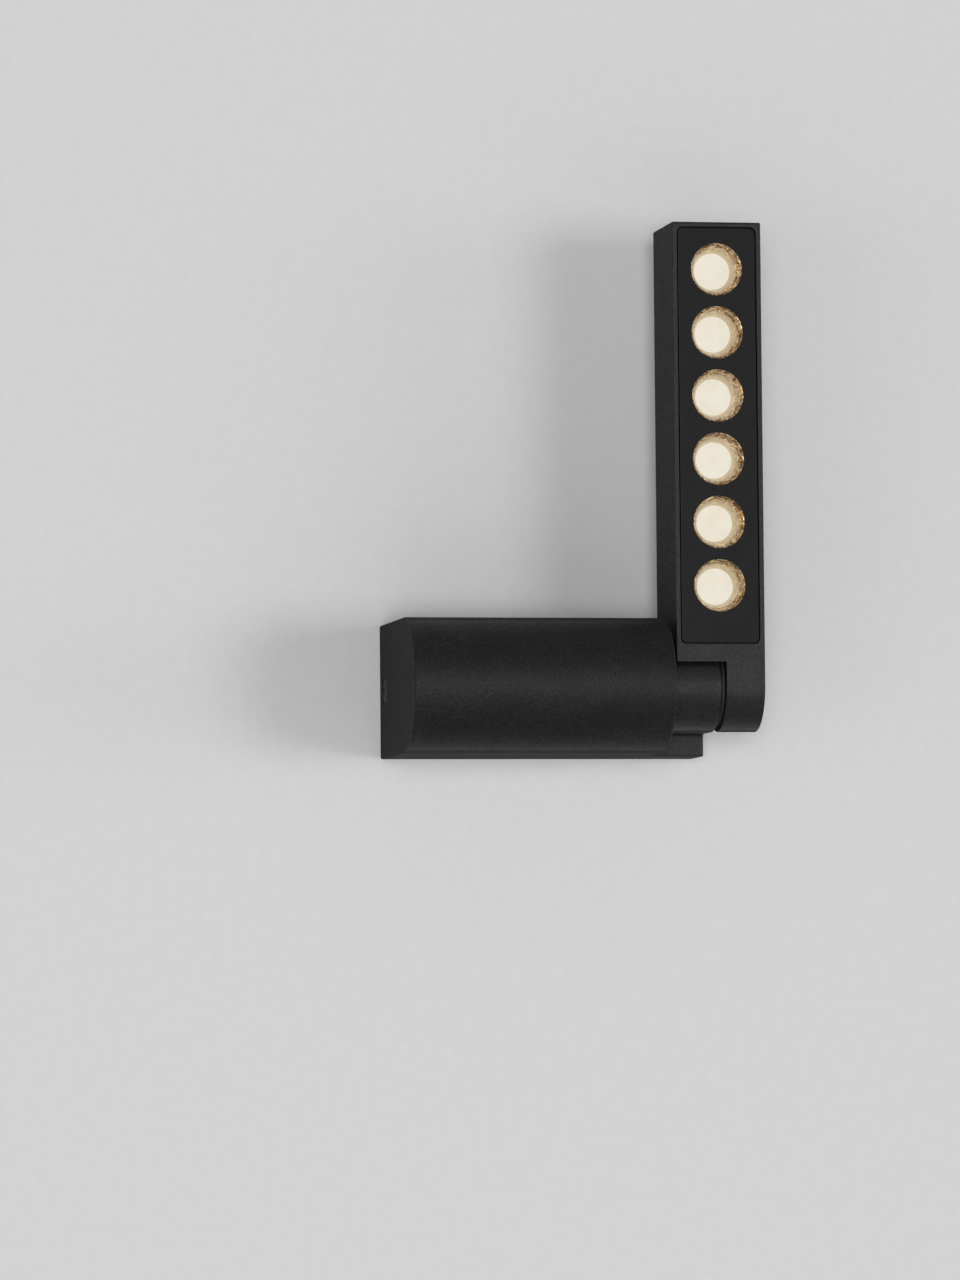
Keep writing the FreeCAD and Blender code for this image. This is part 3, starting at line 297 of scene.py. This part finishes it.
materials = {
    "powder_black": powder_coat("powder_black", (0.004, 0.004, 0.0042, 1), 0.48, 0.2, 0.34),
    "panel_black": moulded("panel_black", (0.0045, 0.0045, 0.0048, 1), 0.34, specular=0.15),
    "screw_black": moulded("screw_black", (0.014, 0.014, 0.0145, 1), 0.6, specular=0.3),
    "rubber_black": moulded("rubber_black", (0.02, 0.02, 0.02, 1), 0.75),
    "clamp_white": moulded("clamp_white", (0.72, 0.72, 0.69, 1), 0.45),
    "terminal_white": moulded("terminal_white", (0.78, 0.78, 0.75, 1), 0.4),
    "steel": brushed("steel", (0.62, 0.62, 0.6, 1), 0.32),
    "spring_steel": brushed("spring_steel", (0.4, 0.38, 0.35, 1), 0.3),
    "brass": brushed("brass", (0.72, 0.55, 0.24, 1), 0.3),
    "tinned_brass": brushed("tinned_brass", (0.7, 0.68, 0.6, 1), 0.36),
    "driver_white": moulded("driver_white", (0.7, 0.7, 0.68, 1), 0.5, strength=0.35),
    "board_green": moulded("board_green", (0.03, 0.16, 0.06, 1), 0.3, change=0.2),
    "board_white": moulded("board_white", (0.8, 0.8, 0.78, 1), 0.3),
    "ferrite_and_tape": moulded("ferrite_and_tape", (0.5, 0.4, 0.1, 1), 0.4),
    "ferrite": moulded("ferrite", (0.06, 0.06, 0.06, 1), 0.6, strength=0.4),
    "capacitor_sleeve": moulded("capacitor_sleeve", (0.02, 0.02, 0.06, 1), 0.25),
    "lead_brown": moulded("lead_brown", (0.16, 0.07, 0.03, 1), 0.5),
    "lead_blue": moulded("lead_blue", (0.03, 0.09, 0.35, 1), 0.5),
    "lead_white": moulded("lead_white", (0.7, 0.7, 0.68, 1), 0.5),
    "washer_black": moulded("washer_black", (0.016, 0.016, 0.016, 1), 0.7),
    "bush_polymer": moulded("bush_polymer", (0.35, 0.33, 0.25, 1), 0.45),
    "pad_grey": moulded("pad_grey", (0.4, 0.4, 0.42, 1), 0.8),
    "led_yellow": moulded("led_yellow", (0.85, 0.65, 0.12, 1), 0.5),
    "connector_white": moulded("connector_white", (0.8, 0.8, 0.75, 1), 0.3),
    "reflector_gold": gold_foil("reflector_gold"),
    "lens_glow": lit_lens("lens_glow"),
}

# the castings have a slightly glossier coat than the thin housing
CASTINGS = ("base_casting", "barrel_plug", "head_body", "lug_cap")
casting_black = powder_coat("casting_black", (0.004, 0.004, 0.0042, 1), 0.43, 0.26, 0.36)

for part in frame["record"]["subparts"]:
    mesh = nodes[part["node"]].data
    mesh.materials.clear()
    mesh.materials.append(casting_black if part["node"] in CASTINGS else materials[part["material_slot"]])


def new_object(name, points, faces, material):
    mesh = bpy.data.meshes.new(name)
    mesh.from_pydata(points, [], faces)
    mesh.materials.append(material)
    piece = bpy.data.objects.new(name, mesh)
    bpy.context.scene.collection.objects.link(piece)
    return piece


# ---- reflector cups
def cup_inside(number, place):
    """The inside wall's points, ring after ring from the lens to the rim."""
    low_radius = LENS_RADIUS - LENS_COVER
    low_depth = CUP_FLOOR + COVER_RISE
    points = []
    for step in range(CUP_STEPS + 1):
        share = step / CUP_STEPS
        radius = low_radius + share * (CUP_MOUTH - low_radius)
        depth = low_depth + share * (CUP_RIM - low_depth)
        for index in range(CUP_POINTS_AROUND):
            angle = 2 * math.pi * index / CUP_POINTS_AROUND
            points.append(ring_point(place, angle, radius - crease(number, angle, share), depth))
    return points


def cup_outside(place):
    """The points of lip, flange, outer wall and the skirt that stands on the board."""
    seat = LENS_RADIUS + LENS_GAP
    skirt = seat + CUP_WALL
    flange_back = FLANGE_FRONT - CUP_WALL
    corners = ((CUP_MOUTH + LIP_WALL, CUP_RIM), (CUP_MOUTH + LIP_WALL, FLANGE_FRONT),
               (FLANGE_RADIUS, FLANGE_FRONT), (FLANGE_RADIUS, flange_back), (CUP_MOUTH, flange_back),
               (skirt, CUP_FLOOR), (skirt, BOARD_FACE), (seat, BOARD_FACE), (seat, CUP_FLOOR),
               (LENS_RADIUS - LENS_COVER, CUP_FLOOR))
    points = []
    for radius, depth in corners:
        for index in range(CUP_POINTS_AROUND):
            points.append(ring_point(place, 2 * math.pi * index / CUP_POINTS_AROUND, radius, depth))
    return points


def ring_point(place, angle, radius, depth):
    return (place[0] + radius * math.cos(angle), -depth, place[1] + radius * math.sin(angle))


def crease(number, angle, share):
    """How far the film stands in from the plain cone: nothing by the lens and at the rim."""
    grown = max(0.0, min(1.0, (share - CREASE_START) / CREASE_GROWTH))
    strength = grown * min(1.0, (1 - share) / CREASE_END)
    if strength == 0:
        return 0.0
    at = Vector((math.cos(angle) * CREASES_AROUND, math.sin(angle) * CREASES_AROUND,
                 share * CREASES_ALONG + number * CUP_SHIFT))
    at += noise.noise_vector(at * BEND_SCALE) * BEND_AMOUNT
    large = 1 - abs(noise.noise(at)) * RIDGE_SHARPNESS
    small = 1 - abs(noise.noise(at * SMALL_SCALE + SMALL_SHIFT)) * RIDGE_SHARPNESS
    return strength * CREASE_HEIGHT * max(0.0, LARGE_SHARE * large + (1 - LARGE_SHARE) * small)


def cup_piece(number, place):
    """One cup with its flange and skirt, as one closed ring of rings around the beam."""
    points = cup_inside(number, place) + cup_outside(place)
    rings = len(points) // CUP_POINTS_AROUND
    faces = []
    for ring in range(rings):
        low = ring * CUP_POINTS_AROUND
        high = (ring + 1) % rings * CUP_POINTS_AROUND
        for index in range(CUP_POINTS_AROUND):
            following = (index + 1) % CUP_POINTS_AROUND
            faces.append((low + index, low + following, high + following, high + index))
    piece = new_object("cup_%d" % number, points, faces, materials["reflector_gold"])
    for polygon in piece.data.polygons:
        polygon.use_smooth = polygon.index < CUP_STEPS * CUP_POINTS_AROUND
    return piece


# without a fixed seed, noise_vector differs from run to run
noise.seed_set(CREASE_SEED)

for number in range(1, OPTIC_COUNT + 1):
    node = nodes["reflector_%d" % number]
    corners = [node.matrix_world @ Vector(corner) for corner in node.bound_box]
    middle = [(min(c[axis] for c in corners) + max(c[axis] for c in corners)) / 2 for axis in (0, 2)]
    cup = cup_piece(number, middle)
    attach(cup, "tilting_head")
    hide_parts("reflector_%d" % number)


# ---- wall and floor
def one_sided(name, scale, strength):
    """A pale painted surface that is clear from behind, so the object's back can be seen."""
    graph = Graph(name)
    front = graph.add("ShaderNodeBsdfPrincipled")
    texture = graph.noise(scale=scale, detail=4, roughness=0.6)
    cloud = graph.ramp(texture, [(0.3, shaded(STAGE_PAINT, 0.985)), (0.7, shaded(STAGE_PAINT, 1.015))])
    graph.put(front, Base_Color=cloud, Roughness=0.9, Specular_IOR_Level=0.1,
              Normal=graph.bump(texture, strength, distance=0.6 * MM))
    clear = graph.add("ShaderNodeBsdfTransparent")
    mix = graph.add("ShaderNodeMixShader")
    side = graph.add("ShaderNodeNewGeometry").outputs["Backfacing"]
    for index, source in enumerate((side, front.outputs[0], clear.outputs[0])):
        graph.join(source, mix.inputs[index])
    graph.join(mix.outputs[0], graph.output.inputs["Surface"])
    return graph.material


def wall_backdrop():
    """The wall, facing the room, with an opening behind the object's footprint."""
    (left, right), (bottom, top) = WALL_OPENING
    columns = (-STAGE_REACH, left, right, STAGE_REACH)
    rows = (FLOOR_Z, bottom, top, STAGE_REACH)
    points = [(x, WALL_Y, z) for z in rows for x in columns]
    faces = []
    for row in range(3):
        for column in range(3):
            if (row, column) != (1, 1):
                first = row * 4 + column
                faces.append((first, first + 1, first + 5, first + 4))
    return new_object("wall", points, faces, one_sided("wall_paint", scale=260, strength=0.25))


def floor_sheet():
    points = [(-STAGE_REACH, -STAGE_REACH, FLOOR_Z), (STAGE_REACH, -STAGE_REACH, FLOOR_Z),
              (STAGE_REACH, WALL_Y, FLOOR_Z), (-STAGE_REACH, WALL_Y, FLOOR_Z)]
    return new_object("floor", points, [(0, 1, 2, 3)], one_sided("floor_paint", scale=40, strength=0.1))


wall_backdrop()
floor_sheet()


# ---- lamps and world
def sun(name, azimuth, elevation, spread, strength):
    """A far soft lamp."""
    data = bpy.data.lights.new(name, "SUN")
    data.energy = strength
    data.angle = math.radians(spread)
    lamp = bpy.data.objects.new(name, data)
    bpy.context.scene.collection.objects.link(lamp)
    around, above = math.radians(azimuth), math.radians(elevation)
    towards = Vector((math.sin(around) * math.cos(above), -math.cos(around) * math.cos(above),
                      math.sin(above)))
    lamp.rotation_mode = "QUATERNION"
    lamp.rotation_quaternion = towards.to_track_quat("Z", "Y")


def floor_wash():
    """A wide lamp close above the floor that faces down, so that the floor is pale from every side."""
    data = bpy.data.lights.new("floor_wash", "AREA")
    data.shape = "RECTANGLE"
    data.size, data.size_y = WASH_SIZE
    data.energy = WASH_POWER
    lamp = bpy.data.objects.new("floor_wash", data)
    lamp.location = WASH_PLACE
    lamp.visible_camera = False
    lamp.visible_glossy = False
    bpy.context.scene.collection.objects.link(lamp)


def light_world():
    """Dim in front of the wall, where the lamps are, and pale behind it and in every view's background."""
    world = bpy.data.worlds.new("studio")
    bpy.context.scene.world = world
    world.use_nodes = True
    tree = world.node_tree
    background = tree.nodes["Background"]
    direction = tree.nodes.new("ShaderNodeTexCoord").outputs["Generated"]
    split = tree.nodes.new("ShaderNodeSeparateXYZ")
    tree.links.new(direction, split.inputs[0])
    ahead = tree.nodes.new("ShaderNodeMapRange")
    for index, number in enumerate((-WORLD_BLEND, WORLD_BLEND, ROOM_STRENGTH, PALE_STRENGTH), start=1):
        ahead.inputs[index].default_value = number
    tree.links.new(split.outputs["Y"], ahead.inputs[0])
    path = tree.nodes.new("ShaderNodeLightPath")
    looks = path.outputs["Is Camera Ray"]
    for kind in ("Is Glossy Ray", "Is Transmission Ray"):
        either = tree.nodes.new("ShaderNodeMath")
        either.operation = "MAXIMUM"
        tree.links.new(looks, either.inputs[0])
        tree.links.new(path.outputs[kind], either.inputs[1])
        looks = either.outputs[0]
    seen = tree.nodes.new("ShaderNodeMix")
    seen.data_type = "FLOAT"
    tree.links.new(looks, seen.inputs[0])
    tree.links.new(ahead.outputs[0], seen.inputs[2])
    seen.inputs[3].default_value = PALE_STRENGTH
    tree.links.new(seen.outputs[0], background.inputs["Strength"])
    background.inputs["Color"].default_value = (1, 1, 1, 1)


for settings in SUNS:
    sun(*settings)
floor_wash()
light_world()


# ---- camera and view
def make_camera():
    yaw, pitch, roll = (math.radians(angle) for angle in (CAMERA_YAW, CAMERA_PITCH, CAMERA_ROLL))
    forward = Vector((math.sin(yaw) * math.cos(pitch), math.cos(yaw) * math.cos(pitch), math.sin(pitch)))
    level = Vector((math.cos(yaw), -math.sin(yaw), 0))
    upward = level.cross(forward)
    right = level * math.cos(roll) + upward * math.sin(roll)
    up = upward * math.cos(roll) - level * math.sin(roll)
    data = bpy.data.cameras.new("camera")
    data.sensor_width = SENSOR
    data.lens = SENSOR * FOCAL_PIXELS / IMAGE_HEIGHT
    data.clip_start = CLIP_NEAR
    data.clip_end = CLIP_FAR
    camera = bpy.data.objects.new("camera", data)
    bpy.context.scene.collection.objects.link(camera)
    turn = Matrix((right, up, -forward)).transposed()
    camera.matrix_world = Matrix.Translation(CAMERA_PLACE) @ turn.to_4x4()
    bpy.context.scene.camera = camera


make_camera()
bpy.context.scene.view_settings.view_transform = "Standard"
